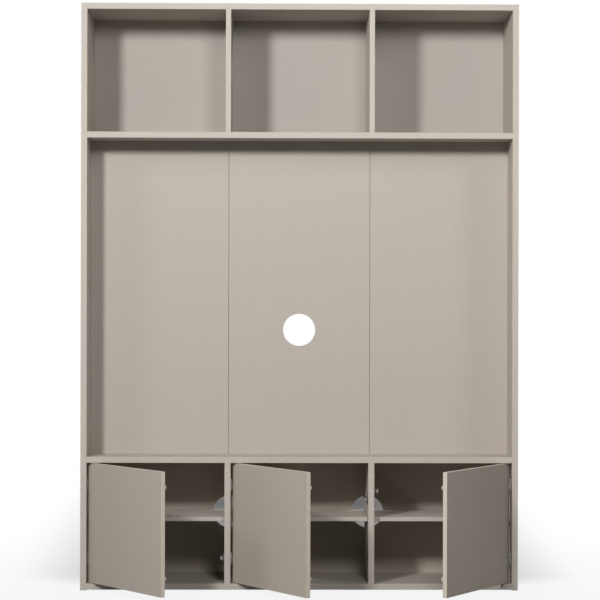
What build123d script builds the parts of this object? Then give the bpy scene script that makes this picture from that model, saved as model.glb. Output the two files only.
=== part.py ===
from build123d import *
import os
from math import cos, hypot, radians, sin

os.makedirs("parts", exist_ok=True)

# A tall open media cabinet: three open compartments at the top, a wide television bay with
# a forward-set panel, and three door compartments at the bottom. The origin is on the
# floor, in the middle of the width, midway between the tips of the open doors and the
# back. +X is to the right seen from the front, +Y to the wall, +Z up. Millimetres.

# Overall sizes
cabinet_width = 1600
cabinet_height = 2145
cabinet_depth = 350

# Board thicknesses
side_thickness = 22
panel_thickness = 22
upper_divider_thickness = 19
lower_divider_thickness = 22
back_thickness = 8
tv_panel_thickness = 18
post_thickness = 22
batten_width = 22
inner_shelf_thickness = 15
door_thickness = 16
edge_round = 0.8

# Heights and depths inside the cabinet
floor_gap = 2.5
lower_clear_height = 441
upper_clear_height = 448
back_inset = 14
back_groove_depth = 6
back_groove_clearance = 0.2
tv_recess = 160
tv_seam = 1
inner_shelf_door_gap = 4.6
inner_shelf_side_gap = 1
inner_shelf_back_gap = 1
inner_shelf_rise = 224.5

# Openings for cables
back_hole_radius = 60
tv_hole_radius = 60
tv_hole_height = 950
deck_hole_radius = 40
deck_hole_from_back = 95

# Doors: gaps to the boards round them, and how far each stands open
door_side_gap = 2.5
door_end_gap = 2
door_setback = 0
open_angle_left = 55
open_angle_centre = 58
open_angle_right = 58

# Running clearances and the overrun of a cut
fit_clearance = 0.05
loose_clearance = 0.3
overrun = 1

# Hinge: one pin across a cup in the door, and a gooseneck arm on the cabinet
pivot_from_side = 28
pivot_depth = 9
hinge_from_end = 85
hinge_pin_radius = 1.5
cup_radius = 17.5
cup_depth = 12
cup_wall = 1
flange_width = 24
flange_length = 62
flange_rim = 1.5
flange_thickness = 1.2
flange_round = 4
pin_end_inset = 0.3
cup_screw_pitch = 48
eye_radius = 3.4
arm_thickness = 3
arm_height = 10
arm_bend = 4
arm_knee_along = 9
arm_knee_back = 5
arm_turn_back = 13
arm_clearance = 3
channel_length = 58
channel_height = 16
channel_rise = 10
channel_wall = 1.5
plate_thickness = 4
plate_length = 50
plate_from_knee = 5
plate_spine = 16
plate_wing_length = 20
plate_wing_height = 50
plate_screw_from_door = 37
plate_screw_pitch = 32
arm_screw_from_end = 12

# Screws
screw_radius = 2
screw_length = 12
screw_head_radius = 3.6
screw_head_height = 1.8
cup_screw_length = 10

# Door bumpers and push latches
bumper_radius = 8
bumper_height = 8
bumper_crown = 3
bumper_from_free_edge = 9
bumper_from_top = 58
bumper_from_bottom = 66
latch_rise_left = -129.5
latch_rise_centre = 85
latch_rise_right = 116.5
latch_axis_from_face = 11
latch_width = 16
latch_height = 15
latch_length = 62
latch_bar_proud = 2
latch_foot_thickness = 3
latch_foot_length = 20
latch_foot_height = 34
latch_screw_pitch = 24
latch_screw_from_front = 31
latch_round = 1.5
latch_bore_depth = 50
plunger_radius = 3.6
plunger_length = 44
plunger_tip_radius = 3.2
plunger_tip_length = 1.2
plunger_bore_clearance = 0.3
plunger_gap = 0.3

# Board joints: dowels in every end, cams in the ends of the boards between the sides
dowel_radius = 4
dowel_seat = 10
dowel_in_end = 20
dowel_end_gap = 0.5
dowel_from_front = 60
dowel_from_back = 70
post_dowel_inset = 40
cam_radius = 7.5
cam_depth = 13
cam_from_end = 24
cam_beside_dowel = 32
cam_bolt_radius = 3.2
cam_bolt_seat = 11
cam_head_radius = 3.8
cam_head_length = 4
cam_head_past_centre = 3

# Shelf pins, floor glides and wall brackets
shelf_pin_radius = 2.5
shelf_pin_seat = 9
shelf_pin_reach = 8
shelf_pin_inset = 30
glide_radius = 12
glide_from_front = 40
bracket_leg = 40
bracket_width = 60
bracket_thickness = 2.5
bracket_bend = 3
bracket_from_side = 120
bracket_hole_radius = 3.5
bracket_screw_pitch = 36

# Levels of the boards, from the floor up
floor_top = floor_gap + panel_thickness
deck_under = floor_top + lower_clear_height
deck_top = deck_under + panel_thickness
top_under = cabinet_height - panel_thickness
shelf_top = top_under - upper_clear_height
shelf_under = shelf_top - panel_thickness
inner_shelf_under = floor_top + inner_shelf_rise
back_hole_height = inner_shelf_under + inner_shelf_thickness / 2

# Faces across the width
inner_x = cabinet_width / 2 - side_thickness
compartment_width = (2 * inner_x - 2 * lower_divider_thickness) / 3
divider_x = inner_x - compartment_width - lower_divider_thickness / 2

# Doors, from the space that they close
door_width = compartment_width - 2 * door_side_gap
door_height = lower_clear_height - 2 * door_end_gap
door_middle = floor_top + lower_clear_height / 2
hinge_edge = door_side_gap - pivot_from_side
free_edge = hinge_edge + door_width
outer_face = -pivot_depth
inner_face = outer_face + door_thickness

# The hinge end of a door swings into the cabinet, and arms and shelves stay clear of it
hinge_swing = hypot(hinge_edge, inner_face)
arm_reach = inner_face + flange_thickness + arm_thickness / 2 + arm_clearance
arm_base_back = hinge_swing + arm_thickness / 2 + arm_clearance
inner_shelf_setback = door_setback + pivot_depth + hinge_swing + inner_shelf_door_gap

# Faces through the depth, with the origin midway over the open doors and the cabinet
open_angles = {
    "left": open_angle_left,
    "centre": open_angle_centre,
    "right": open_angle_right,
}
widest_angle = radians(max(open_angles.values()))
door_reach = free_edge * sin(widest_angle) + pivot_depth * (cos(widest_angle) - 1)
front_y = (door_reach - door_setback - cabinet_depth) / 2
back_y = front_y + cabinet_depth
back_panel_y = back_y - back_inset - back_thickness
tv_panel_y = front_y + tv_recess
post_y = tv_panel_y + tv_panel_thickness
dowel_ys = [front_y + dowel_from_front, back_y - dowel_from_back]

LEFT = (-1, 0, 0)
RIGHT = (1, 0, 0)
TO_FRONT = (0, -1, 0)
TO_BACK = (0, 1, 0)
UP = (0, 0, 1)
DOWN = (0, 0, -1)


def block(x_span, y_span, z_span, mode=Mode.ADD):
    """Add a block that fills the three spans, in the frame of the part being built."""
    spans = (x_span, y_span, z_span)
    with Locations(Vector(*[sum(span) / 2 for span in spans])):
        return Box(*[abs(span[1] - span[0]) for span in spans], mode=mode)


def rods(points, direction, radius, length, mode=Mode.ADD):
    """Add a round rod at each point, or cut a bore, running in the direction given."""
    along = (Align.CENTER, Align.CENTER, Align.MIN)
    with Locations(*[Plane(origin=point, z_dir=direction) for point in points]):
        return Cylinder(radius, length, align=along, mode=mode)


def bores(points, direction, radius, depth):
    """Cut a round bore at each point that reaches the depth given under the surface."""
    start = [Vector(*point) - Vector(*direction) * overrun for point in points]
    rods(start, direction, radius, depth + overrun, Mode.SUBTRACT)


def ease_front(piece, axis):
    """Round the two long front edges of a board that runs along the axis given."""
    fillet(piece.edges().filter_by(axis).group_by(Axis.Y)[0], edge_round)


def save(piece, name):
    """Label a finished piece and write it to a file of its own."""
    piece.part.label = name
    export_step(piece.part, f"parts/{name}.step")


# Dowels of the uprights: the level of each joint, and their places through the depth
post_ys = [post_y + post_dowel_inset, back_y - post_dowel_inset]
upright_dowels = {
    floor_top: dowel_ys,
    deck_under: dowel_ys,
    deck_top: post_ys,
    shelf_under: post_ys,
    shelf_top: dowel_ys,
    top_under: dowel_ys,
}
level_boards = {
    "bottom_panel": (floor_gap, DOWN),
    "tv_deck": (deck_under, DOWN),
    "upper_shelf": (shelf_under, UP),
    "top_panel": (top_under, UP),
}


def level_ends(side):
    """Points at mid thickness where the ends of the level boards meet one side panel."""
    heights = [under + panel_thickness / 2 for under, _ in level_boards.values()]
    return [(side * inner_x, y, z) for z in heights for y in dowel_ys]


def cam_points(points):
    """The cam beside each dowel, towards the middle of the depth."""
    middle = (dowel_ys[0] + dowel_ys[1]) / 2
    step = cam_beside_dowel
    return [(x, y + (step if y < middle else -step), z) for x, y, z in points]


def upright_ends(level, side):
    """Points where a divider or post meets the board whose face is at this level."""
    return [(side * divider_x, y, level) for y in upright_dowels.get(level, [])]


# Wall brackets: the middle of each, and the screws that hold it under the upper shelf
bracket_x = inner_x - bracket_from_side
bracket_screws = [
    (side * bracket_x + way * bracket_screw_pitch / 2, back_y - bracket_leg / 2, shelf_under)
    for side in (-1, 1)
    for way in (-1, 1)
]

# Latches: the faces of the dividers that carry them, with their screws
latch_front = inner_face + plunger_gap + latch_bar_proud
latch_screw_y = front_y + door_setback + pivot_depth + latch_front + latch_screw_from_front
latch_heights = {
    (-1, 0): door_middle + latch_rise_left,
    (1, 0): door_middle + latch_rise_centre,
    (1, 1): door_middle + latch_rise_right,
}

# Side panels, with bores for dowels, cam bolts, shelf pins and hinge screws
shelf_pin_z = inner_shelf_under - shelf_pin_radius
shelf_pin_ys = [
    front_y + inner_shelf_setback + shelf_pin_inset,
    back_panel_y - shelf_pin_inset,
]
hinge_offset = door_height / 2 + door_end_gap - hinge_from_end
plate_screw_y = front_y + door_setback + door_thickness + plate_screw_from_door
hinge_screws = [
    (plate_screw_y, door_middle + hinge + screw)
    for hinge in (-hinge_offset, hinge_offset)
    for screw in (-plate_screw_pitch / 2, plate_screw_pitch / 2)
]
hinge_screw_bore = screw_length - plate_thickness
groove_span = (
    back_panel_y - back_groove_clearance,
    back_panel_y + back_thickness + back_groove_clearance,
)
groove_reach = back_groove_depth + back_groove_clearance
for side, name in ((-1, "side_left"), (1, "side_right")):
    outward = (side, 0, 0)
    inner = side * inner_x
    with BuildPart() as panel:
        block((inner, side * cabinet_width / 2), (front_y, back_y), (0, cabinet_height))
        for low, high in ((floor_top, deck_under), (shelf_top, top_under)):
            block(
                (inner - side * overrun, inner + side * groove_reach),
                groove_span,
                (low - groove_reach, high + groove_reach),
                Mode.SUBTRACT,
            )
        ends = level_ends(side)
        bores(ends, outward, dowel_radius + fit_clearance, dowel_seat)
        bores(cam_points(ends), outward, cam_bolt_radius + fit_clearance, cam_bolt_seat)
        pins = [(inner, y, shelf_pin_z) for y in shelf_pin_ys]
        bores(pins, outward, shelf_pin_radius + fit_clearance, shelf_pin_seat)
        screws = [(inner, y, z) for y, z in hinge_screws]
        bores(screws, outward, screw_radius + fit_clearance, hinge_screw_bore)
        fillet(panel.faces().sort_by(Axis.Y)[0].edges(), edge_round)
    save(panel, name)

# Level boards between the sides: bottom, television deck, upper shelf and top
for name, (under, cam_side) in level_boards.items():
    top = under + panel_thickness
    with BuildPart() as panel:
        block((-inner_x, inner_x), (front_y, back_y), (under, top))
        if name in ("bottom_panel", "upper_shelf"):
            span = (top - groove_reach, top + overrun)
            block((-inner_x - overrun, inner_x + overrun), groove_span, span, Mode.SUBTRACT)
        else:
            span = (under - overrun, under + groove_reach)
            block((-inner_x - overrun, inner_x + overrun), groove_span, span, Mode.SUBTRACT)
        for side in (-1, 1):
            inward = (-side, 0, 0)
            ends = [point for point in level_ends(side) if under < point[2] < top]
            cams = cam_points(ends)
            bores(ends, inward, dowel_radius + fit_clearance, dowel_in_end)
            bores(cams, inward, cam_head_radius + fit_clearance, cam_from_end)
            face = top if cam_side == UP else under
            pockets = [(x - side * cam_from_end, y, face) for x, y, _ in cams]
            into = DOWN if cam_side == UP else UP
            bores(pockets, into, cam_radius + fit_clearance, cam_depth)
            for level, into in ((top, DOWN), (under, UP)):
                seats = upright_ends(level, side)
                if seats:
                    bores(seats, into, dowel_radius + fit_clearance, dowel_seat)
        if name == "tv_deck":
            hole = [(0, back_y - deck_hole_from_back, top)]
            bores(hole, DOWN, deck_hole_radius, panel_thickness + overrun)
        if name == "upper_shelf":
            depth = screw_length - bracket_thickness
            bores(bracket_screws, UP, screw_radius + fit_clearance, depth)
        ease_front(panel, Axis.X)
    save(panel, name)

# Upright dividers of the top and bottom compartments, and the posts between them
for side, suffix in ((-1, "left"), (1, "right")):
    uprights = {
        "upper_divider": (upper_divider_thickness, front_y, back_panel_y, shelf_top, top_under),
        "tv_post": (post_thickness, post_y, back_y, deck_top, shelf_under),
        "lower_divider": (lower_divider_thickness, front_y, back_panel_y, floor_top, deck_under),
    }
    for name, (thickness, y0, y1, low, high) in uprights.items():
        faces = (side * divider_x - thickness / 2, side * divider_x + thickness / 2)
        with BuildPart() as upright:
            block(faces, (y0, y1), (low, high))
            for level, into in ((low, UP), (high, DOWN)):
                ends = upright_ends(level, side)
                bores(ends, into, dowel_radius + fit_clearance, dowel_in_end)
            if name == "lower_divider":
                for face, into in zip(faces, (RIGHT, LEFT)):
                    pins = [(face, y, shelf_pin_z) for y in shelf_pin_ys]
                    bores(pins, into, shelf_pin_radius + fit_clearance, shelf_pin_seat)
                if side < 0:
                    screws = [(faces[1], y, z) for y, z in hinge_screws]
                    bores(screws, LEFT, screw_radius + fit_clearance, hinge_screw_bore)
                for index, into in enumerate((RIGHT, LEFT)):
                    if (side, index) in latch_heights:
                        screws = [
                            (faces[index], latch_screw_y, latch_heights[side, index] + step)
                            for step in (-latch_screw_pitch / 2, latch_screw_pitch / 2)
                        ]
                        depth = screw_length - latch_foot_thickness
                        bores(screws, into, screw_radius + fit_clearance, depth)
            ease_front(upright, Axis.Z)
        save(upright, f"{name}_{suffix}")

# Back panels in their grooves; the lower one has a round hole behind each divider
back_panel_span = (back_panel_y, back_panel_y + back_thickness)
back_x = inner_x + back_groove_depth
with BuildPart() as upper_back_panel:
    heights = (shelf_top - back_groove_depth, top_under + back_groove_depth)
    block((-back_x, back_x), back_panel_span, heights)
save(upper_back_panel, "upper_back_panel")

with BuildPart() as lower_back_panel:
    heights = (floor_top - back_groove_depth, deck_under + back_groove_depth)
    block((-back_x, back_x), back_panel_span, heights)
    holes = [(side * divider_x, back_panel_y, back_hole_height) for side in (-1, 1)]
    bores(holes, TO_BACK, back_hole_radius, back_thickness + overrun)
save(lower_back_panel, "lower_back_panel")

# Television panel: three boards that meet in line with the dividers, on posts and battens
seam_x = divider_x - tv_seam / 2
tv_boards = {
    "tv_panel_left": (-inner_x, -divider_x - tv_seam / 2),
    "tv_panel_centre": (-seam_x, seam_x),
    "tv_panel_right": (divider_x + tv_seam / 2, inner_x),
}
for name, span in tv_boards.items():
    with BuildPart() as tv_panel:
        block(span, (tv_panel_y, post_y), (deck_top, shelf_under))
        if name == "tv_panel_centre":
            hole = [(0, tv_panel_y, tv_hole_height)]
            bores(hole, TO_BACK, tv_hole_radius, tv_panel_thickness + overrun)
        ease_front(tv_panel, Axis.Z)
    save(tv_panel, name)

for side, suffix in ((-1, "left"), (1, "right")):
    with BuildPart() as batten:
        span = (side * inner_x, side * (inner_x - batten_width))
        block(span, (post_y, post_y + batten_width), (deck_top, shelf_under))
    save(batten, f"tv_batten_{suffix}")

# One inner shelf in each lower compartment, on four pins
shelf_pins = []
compartments = {
    "left": -divider_x - lower_divider_thickness / 2 - compartment_width / 2,
    "centre": 0,
    "right": divider_x + lower_divider_thickness / 2 + compartment_width / 2,
}
for name, centre in compartments.items():
    half = compartment_width / 2
    with BuildPart() as inner_shelf:
        block(
            (centre - half + inner_shelf_side_gap, centre + half - inner_shelf_side_gap),
            (front_y + inner_shelf_setback, back_panel_y - inner_shelf_back_gap),
            (inner_shelf_under, inner_shelf_under + inner_shelf_thickness),
        )
        ease_front(inner_shelf, Axis.X)
    save(inner_shelf, f"inner_shelf_{name}")
    for side in (-1, 1):
        shelf_pins += [(centre + side * half, y, shelf_pin_z, side) for y in shelf_pin_ys]

with BuildPart() as pins:
    for x, y, z, side in shelf_pins:
        start = [(x + side * shelf_pin_seat, y, z)]
        length = shelf_pin_seat + shelf_pin_reach
        rods(start, (-side, 0, 0), shelf_pin_radius, length)
save(pins, "shelf_pins")

# Dowels in every board joint
dowel_length = dowel_seat + dowel_in_end - 2 * dowel_end_gap
with BuildPart() as dowels:
    for side in (-1, 1):
        seat = side * (dowel_seat - dowel_end_gap)
        starts = [(x + seat, y, z) for x, y, z in level_ends(side)]
        rods(starts, (-side, 0, 0), dowel_radius, dowel_length)
        for level in upright_dowels:
            way = 1 if level in (floor_top, deck_top, shelf_top) else -1
            start_z = level - way * (dowel_seat - dowel_end_gap)
            starts = [(x, y, start_z) for x, y, _ in upright_ends(level, side)]
            rods(starts, (0, 0, way), dowel_radius, dowel_length)
save(dowels, "wood_dowels")

# Cam fittings: a bolt in each side panel, and a cam that grips its head
with BuildPart() as cam_bolts:
    for side in (-1, 1):
        inward = (-side, 0, 0)
        points = cam_points(level_ends(side))
        starts = [(x + side * (cam_bolt_seat - loose_clearance), y, z) for x, y, z in points]
        tip = cam_from_end - loose_clearance
        rods(starts, inward, cam_bolt_radius, cam_bolt_seat - loose_clearance + tip)
        heads = [(x - side * (tip - cam_head_length), y, z) for x, y, z in points]
        rods(heads, inward, cam_head_radius, cam_head_length)
save(cam_bolts, "cam_bolts")

with BuildPart() as cam_locks:
    for under, cam_side in level_boards.values():
        top = under + panel_thickness
        face = top if cam_side == UP else under
        into = DOWN if cam_side == UP else UP
        for side in (-1, 1):
            points = [point for point in level_ends(side) if under < point[2] < top]
            cams = [(x - side * cam_from_end, y, z) for x, y, z in cam_points(points)]
            tops = [(x, y, face) for x, y, _ in cams]
            rods(tops, into, cam_radius, cam_depth - loose_clearance)
            mouths = [(x + side * (cam_radius + overrun), y, z) for x, y, z in cams]
            reach = cam_radius + overrun + cam_head_past_centre
            rods(mouths, (-side, 0, 0), cam_head_radius + loose_clearance, reach, Mode.SUBTRACT)
save(cam_locks, "cam_locks")

# Glides under the bottom panel, in line with the dividers
with BuildPart() as glides:
    ys = (front_y + glide_from_front, back_y - glide_from_front)
    points = [(side * divider_x, y, 0) for side in (-1, 1) for y in ys]
    rods(points, UP, glide_radius, floor_gap)
save(glides, "floor_glides")

# Angle brackets that hold the cabinet to the wall, under the upper shelf behind the boards
for side, suffix in ((-1, "left"), (1, "right")):
    centre = side * bracket_x
    span = (centre - bracket_width / 2, centre + bracket_width / 2)
    with BuildPart() as bracket:
        wall_leg = (back_y - bracket_thickness, back_y)
        block(span, wall_leg, (shelf_under - bracket_leg, shelf_under))
        shelf_leg = (shelf_under - bracket_thickness, shelf_under)
        block(span, (back_y - bracket_leg, back_y), shelf_leg)
        corner = bracket.edges().filter_by(Axis.X).group_by(Axis.Y)[-1].sort_by(Axis.Z)[-1]
        fillet(corner, bracket_bend)
        wall_holes = [
            (centre + way * bracket_screw_pitch / 2, back_y, shelf_under - bracket_leg / 2)
            for way in (-1, 1)
        ]
        bores(wall_holes, TO_FRONT, bracket_hole_radius, bracket_thickness + overrun)
        shelf_holes = [point for point in bracket_screws if span[0] < point[0] < span[1]]
        bores(shelf_holes, DOWN, screw_radius + fit_clearance, bracket_thickness + overrun)
    save(bracket, f"wall_bracket_{suffix}")

with BuildPart() as screws:
    heads = [(x, y, z - bracket_thickness - screw_head_height) for x, y, z in bracket_screws]
    rods(heads, UP, screw_head_radius, screw_head_height)
    rods(heads, UP, screw_radius, screw_head_height + screw_length)
save(screws, "bracket_screws")

# Each door turns about a pin axis. In its frame X runs from the axis to the free edge, Y
# into the cabinet and the origin is at mid height; the right door's frame is turned over.
hinge_heights = (-hinge_offset, hinge_offset)
latch_face = compartment_width - pivot_from_side
plunger_x = latch_face - latch_axis_from_face
plunger_tip = inner_face + plunger_gap
plate_face = plate_thickness - pivot_from_side
web_face = plate_face + channel_rise
plate_screw_back = inner_face + plate_screw_from_door
plate_start = arm_base_back + plate_from_knee
channel_start = arm_base_back - arm_thickness / 2
arm_screw_back = channel_start + channel_length - arm_screw_from_end


def frames_of(name):
    """The frame of one door's fittings on the cabinet, and that of the open door."""
    way = -1 if name == "right" else 1
    hinge_face = compartments[name] - way * compartment_width / 2
    pivot = (
        hinge_face + way * pivot_from_side,
        front_y + door_setback + pivot_depth,
        door_middle,
    )
    angle = radians(open_angles[name])
    fixed = Plane(origin=pivot, x_dir=(way, 0, 0), z_dir=(0, 0, way))
    along = (way * cos(angle), -sin(angle), 0)
    return fixed, Plane(origin=pivot, x_dir=along, z_dir=(0, 0, way))


def facing(frame, point, direction):
    """A sketching plane at a point of the frame that faces the direction given."""
    return Plane(frame.location * Plane(origin=point, z_dir=direction).location)


# Doors, with a cup, a pin and two screws for each hinge, and two bumpers
cup_screws = [
    (0, inner_face + flange_thickness, hinge + step)
    for hinge in hinge_heights
    for step in (-cup_screw_pitch / 2, cup_screw_pitch / 2)
]
cup_mouths = [(0, inner_face + flange_thickness, hinge) for hinge in hinge_heights]
bumper_rises = (
    lower_clear_height / 2 - bumper_from_top,
    bumper_from_bottom - lower_clear_height / 2,
)
for name in compartments:
    fixed, opened = frames_of(name)
    with BuildPart(opened) as door:
        half = door_height / 2
        block((hinge_edge, free_edge), (outer_face, inner_face), (-half, half))
        fillet(door.edges(), edge_round)
        cups = [(0, inner_face, hinge) for hinge in hinge_heights]
        bores(cups, TO_FRONT, cup_radius + fit_clearance, cup_depth)
        bore_depth = cup_screw_length + flange_thickness
        bores(cup_screws, TO_FRONT, screw_radius + fit_clearance, bore_depth)
    save(door, f"door_{name}")

    with BuildPart(opened) as cups:
        rods(cup_mouths, TO_FRONT, cup_radius, cup_depth + flange_thickness - loose_clearance)
        for place in [(0, inner_face, hinge) for hinge in hinge_heights]:
            with BuildSketch(facing(opened, place, TO_BACK)):
                RectangleRounded(flange_length, flange_width, flange_round)
                Circle(cup_radius + flange_rim)
            extrude(amount=flange_thickness)
        inside = cup_depth + flange_thickness - loose_clearance - cup_wall
        bores(cup_mouths, TO_FRONT, cup_radius - cup_wall, inside)
        ends = [(0, 0, hinge - cup_radius) for hinge in hinge_heights]
        bores(ends, UP, hinge_pin_radius + fit_clearance, 2 * cup_radius + overrun)
        bores(cup_screws, TO_FRONT, screw_radius + fit_clearance, flange_thickness + overrun)
    save(cups, f"hinge_cups_{name}")

    with BuildPart(opened) as hinge_pins:
        ends = [(0, 0, hinge - cup_radius + pin_end_inset) for hinge in hinge_heights]
        rods(ends, UP, hinge_pin_radius, 2 * (cup_radius - pin_end_inset))
    save(hinge_pins, f"hinge_pins_{name}")

    with BuildPart(opened) as screws:
        heads = [(x, y + screw_head_height, z) for x, y, z in cup_screws]
        rods(heads, TO_FRONT, screw_head_radius, screw_head_height)
        rods(heads, TO_FRONT, screw_radius, screw_head_height + cup_screw_length)
    save(screws, f"cup_screws_{name}")

    with BuildPart(opened) as bumpers:
        places = [
            (free_edge - bumper_from_free_edge, inner_face, opened.z_dir.Z * rise)
            for rise in bumper_rises
        ]
        rods(places, TO_BACK, bumper_radius, bumper_height)
        rims = bumpers.edges().filter_by(GeomType.CIRCLE)
        fillet(rims.group_by(Axis(opened.origin, opened.y_dir))[-1], bumper_crown)
    save(bumpers, f"bumpers_{name}")

# Hinge arms and their plates on the cabinet
plate_screws = [
    (plate_face, plate_screw_back, hinge + step)
    for hinge in hinge_heights
    for step in (-plate_screw_pitch / 2, plate_screw_pitch / 2)
]
arm_screws = [(web_face, arm_screw_back, hinge) for hinge in hinge_heights]
arm_path = (
    (0, 0),
    (arm_knee_along, arm_knee_back),
    (arm_reach, arm_turn_back),
    (arm_reach, arm_base_back),
    (web_face - channel_wall, arm_base_back),
)
for name in compartments:
    fixed, _ = frames_of(name)
    with BuildPart(fixed) as arms:
        channel_end = channel_start + channel_length
        for hinge in hinge_heights:
            half = channel_height / 2
            block(
                (plate_face, web_face),
                (channel_start, channel_end),
                (hinge - half, hinge + half),
            )
            block(
                (plate_face - overrun, web_face - channel_wall),
                (channel_start + channel_wall, channel_end + overrun),
                (hinge - half + channel_wall, hinge + half - channel_wall),
                Mode.SUBTRACT,
            )
            with BuildSketch(fixed.offset(hinge - arm_height / 2)):
                with BuildLine():
                    FilletPolyline(*arm_path, radius=arm_bend)
                trace(line_width=arm_thickness)
                Circle(eye_radius)
                Circle(hinge_pin_radius + fit_clearance, mode=Mode.SUBTRACT)
            extrude(amount=arm_height)
        bores(arm_screws, LEFT, screw_radius + fit_clearance, channel_wall + overrun)
    save(arms, f"hinge_arms_{name}")

    with BuildPart(fixed) as plates:
        for hinge in hinge_heights:
            for reach, start, length in (
                (plate_spine, plate_start, plate_length),
                (
                    plate_wing_height,
                    plate_screw_back - plate_wing_length / 2,
                    plate_wing_length,
                ),
            ):
                span = (hinge - reach / 2, hinge + reach / 2)
                block((-pivot_from_side, plate_face), (start, start + length), span)
        bores(plate_screws, LEFT, screw_radius + fit_clearance, plate_thickness + overrun)
        plate_points = [(plate_face, y, z) for _, y, z in arm_screws]
        bores(plate_points, LEFT, screw_radius + fit_clearance, plate_thickness + overrun)
    save(plates, f"hinge_plates_{name}")

with BuildPart() as screws:
    for name in compartments:
        fixed, _ = frames_of(name)
        for points, length in (
            (plate_screws, screw_length),
            (arm_screws, channel_rise + plate_thickness - loose_clearance),
        ):
            heads = [(x + screw_head_height, y, z) for x, y, z in points]
            for point in heads:
                with BuildSketch(facing(fixed, point, LEFT)):
                    Circle(screw_head_radius)
                extrude(amount=screw_head_height)
                with BuildSketch(facing(fixed, point, LEFT)):
                    Circle(screw_radius)
                extrude(amount=screw_head_height + length)
save(screws, "hinge_screws")

# A push latch on the divider at the free edge of each door
latch_levels = {
    "left": latch_rise_left,
    "centre": latch_rise_centre,
    "right": -latch_rise_right,
}


def latch_screws(level):
    """The places of the two screws in the foot of a latch at one level of its frame."""
    x, y = latch_face - latch_foot_thickness, latch_front + latch_screw_from_front
    return [(x, y, level + step) for step in (-latch_screw_pitch / 2, latch_screw_pitch / 2)]


for name, level in latch_levels.items():
    fixed, _ = frames_of(name)
    with BuildPart(fixed) as latch_housing:
        half = latch_height / 2
        block(
            (latch_face - latch_width, latch_face),
            (latch_front, latch_front + latch_length),
            (level - half, level + half),
        )
        along = latch_housing.edges().filter_by(Axis(fixed.origin, fixed.y_dir))
        fillet(along.group_by(Axis.X)[-1 if name == "right" else 0], latch_round)
        foot = latch_front + latch_screw_from_front
        block(
            (latch_face - latch_foot_thickness, latch_face),
            (foot - latch_foot_length / 2, foot + latch_foot_length / 2),
            (level - latch_foot_height / 2, level + latch_foot_height / 2),
        )
        mouth = [(plunger_x, latch_front, level)]
        bores(mouth, TO_BACK, plunger_radius + plunger_bore_clearance, latch_bore_depth)
        bores(latch_screws(level), RIGHT, screw_radius + fit_clearance, latch_foot_thickness + overrun)
    save(latch_housing, f"latch_housing_{name}")

    with BuildPart(fixed) as plunger:
        tip = [(plunger_x, plunger_tip, level)]
        rods(tip, TO_BACK, plunger_tip_radius, plunger_tip_length)
        shoulder = [(plunger_x, plunger_tip + plunger_tip_length, level)]
        rods(shoulder, TO_BACK, plunger_radius, plunger_length - plunger_tip_length)
    save(plunger, f"latch_plunger_{name}")

with BuildPart() as screws:
    for name, level in latch_levels.items():
        fixed, _ = frames_of(name)
        for x, y, z in latch_screws(level):
            top = (x - screw_head_height, y, z)
            with BuildSketch(facing(fixed, top, RIGHT)):
                Circle(screw_head_radius)
            extrude(amount=screw_head_height)
            with BuildSketch(facing(fixed, top, RIGHT)):
                Circle(screw_radius)
            extrude(amount=screw_head_height + screw_length)
save(screws, "latch_screws")
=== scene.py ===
import math

import bmesh
import bpy
from mathutils import Matrix, Vector


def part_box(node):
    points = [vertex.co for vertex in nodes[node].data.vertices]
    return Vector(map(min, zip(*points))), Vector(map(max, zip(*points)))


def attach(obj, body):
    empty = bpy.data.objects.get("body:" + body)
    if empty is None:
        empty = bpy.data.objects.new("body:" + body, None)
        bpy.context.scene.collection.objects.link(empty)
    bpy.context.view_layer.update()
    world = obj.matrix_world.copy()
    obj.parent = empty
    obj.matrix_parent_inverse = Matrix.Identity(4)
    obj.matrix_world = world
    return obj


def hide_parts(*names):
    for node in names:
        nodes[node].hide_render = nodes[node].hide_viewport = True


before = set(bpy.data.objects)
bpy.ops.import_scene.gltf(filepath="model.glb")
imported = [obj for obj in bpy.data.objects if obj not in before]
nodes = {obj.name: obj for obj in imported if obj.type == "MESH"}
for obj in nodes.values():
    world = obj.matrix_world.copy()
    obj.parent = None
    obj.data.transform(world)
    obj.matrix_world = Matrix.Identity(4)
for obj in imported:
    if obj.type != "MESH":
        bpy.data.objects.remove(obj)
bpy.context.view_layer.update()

# The camera stands 7.8 m in front of the cabinet, a little left of its middle and just
# under half its height, and looks almost level at it.
eye = bpy.data.objects.new("camera", bpy.data.cameras.new("camera"))
bpy.context.scene.collection.objects.link(eye)
bpy.context.scene.camera = eye
eye.data.lens = 128.0
eye.data.sensor_width = 36.0
eye.data.clip_end = 80.0
heading = Matrix.Rotation(math.radians(-0.859), 4, "Z")
tilt = Matrix.Rotation(math.radians(0.025), 4, "X")
lean = Matrix.Rotation(math.radians(-0.137), 4, "Y")
stand = Matrix.Translation((-0.1165, -7.7727, 1.0581))
ahead = Matrix.Rotation(math.radians(90), 4, "X")
eye.matrix_world = stand @ heading @ tilt @ lean @ ahead

# The two side panels: 22 mm particle board from floor to top, finished in a matte greige
# lacquer over a fine straight grain, with a glued band on the front edge. The rear edge
# is left raw. Dowels and cam fittings hold the level boards between them.
GREIGE = (0.452, 0.412, 0.365)
CORE_DUST = (0.50, 0.39, 0.26)
SEAM_IN = 0.0010
GLUE_LINE = 0.00022
FACE_SKIN = 0.0003
RAW_SKIN = 0.0004
# How far in from an edge the paler edge reaches: rubbed wear with a painted highlight
EDGE_WEAR_AND_SHEEN = (0.0002, 0.0022)


def add(tree, kind, inputs=None, **settings):
    """Add a shader node. An input is a value, or the socket that feeds it."""
    made = tree.nodes.new("ShaderNode" + kind)
    for name, value in settings.items():
        setattr(made, name, value)
    for socket, value in (inputs or {}).items():
        if isinstance(value, bpy.types.NodeSocket):
            tree.links.new(value, made.inputs[socket])
        else:
            made.inputs[socket].default_value = value
    return made


def reckon(tree, operation, *values):
    """The result of a math node on the values."""
    return add(tree, "Math", dict(enumerate(values)), operation=operation).outputs[0]


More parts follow.
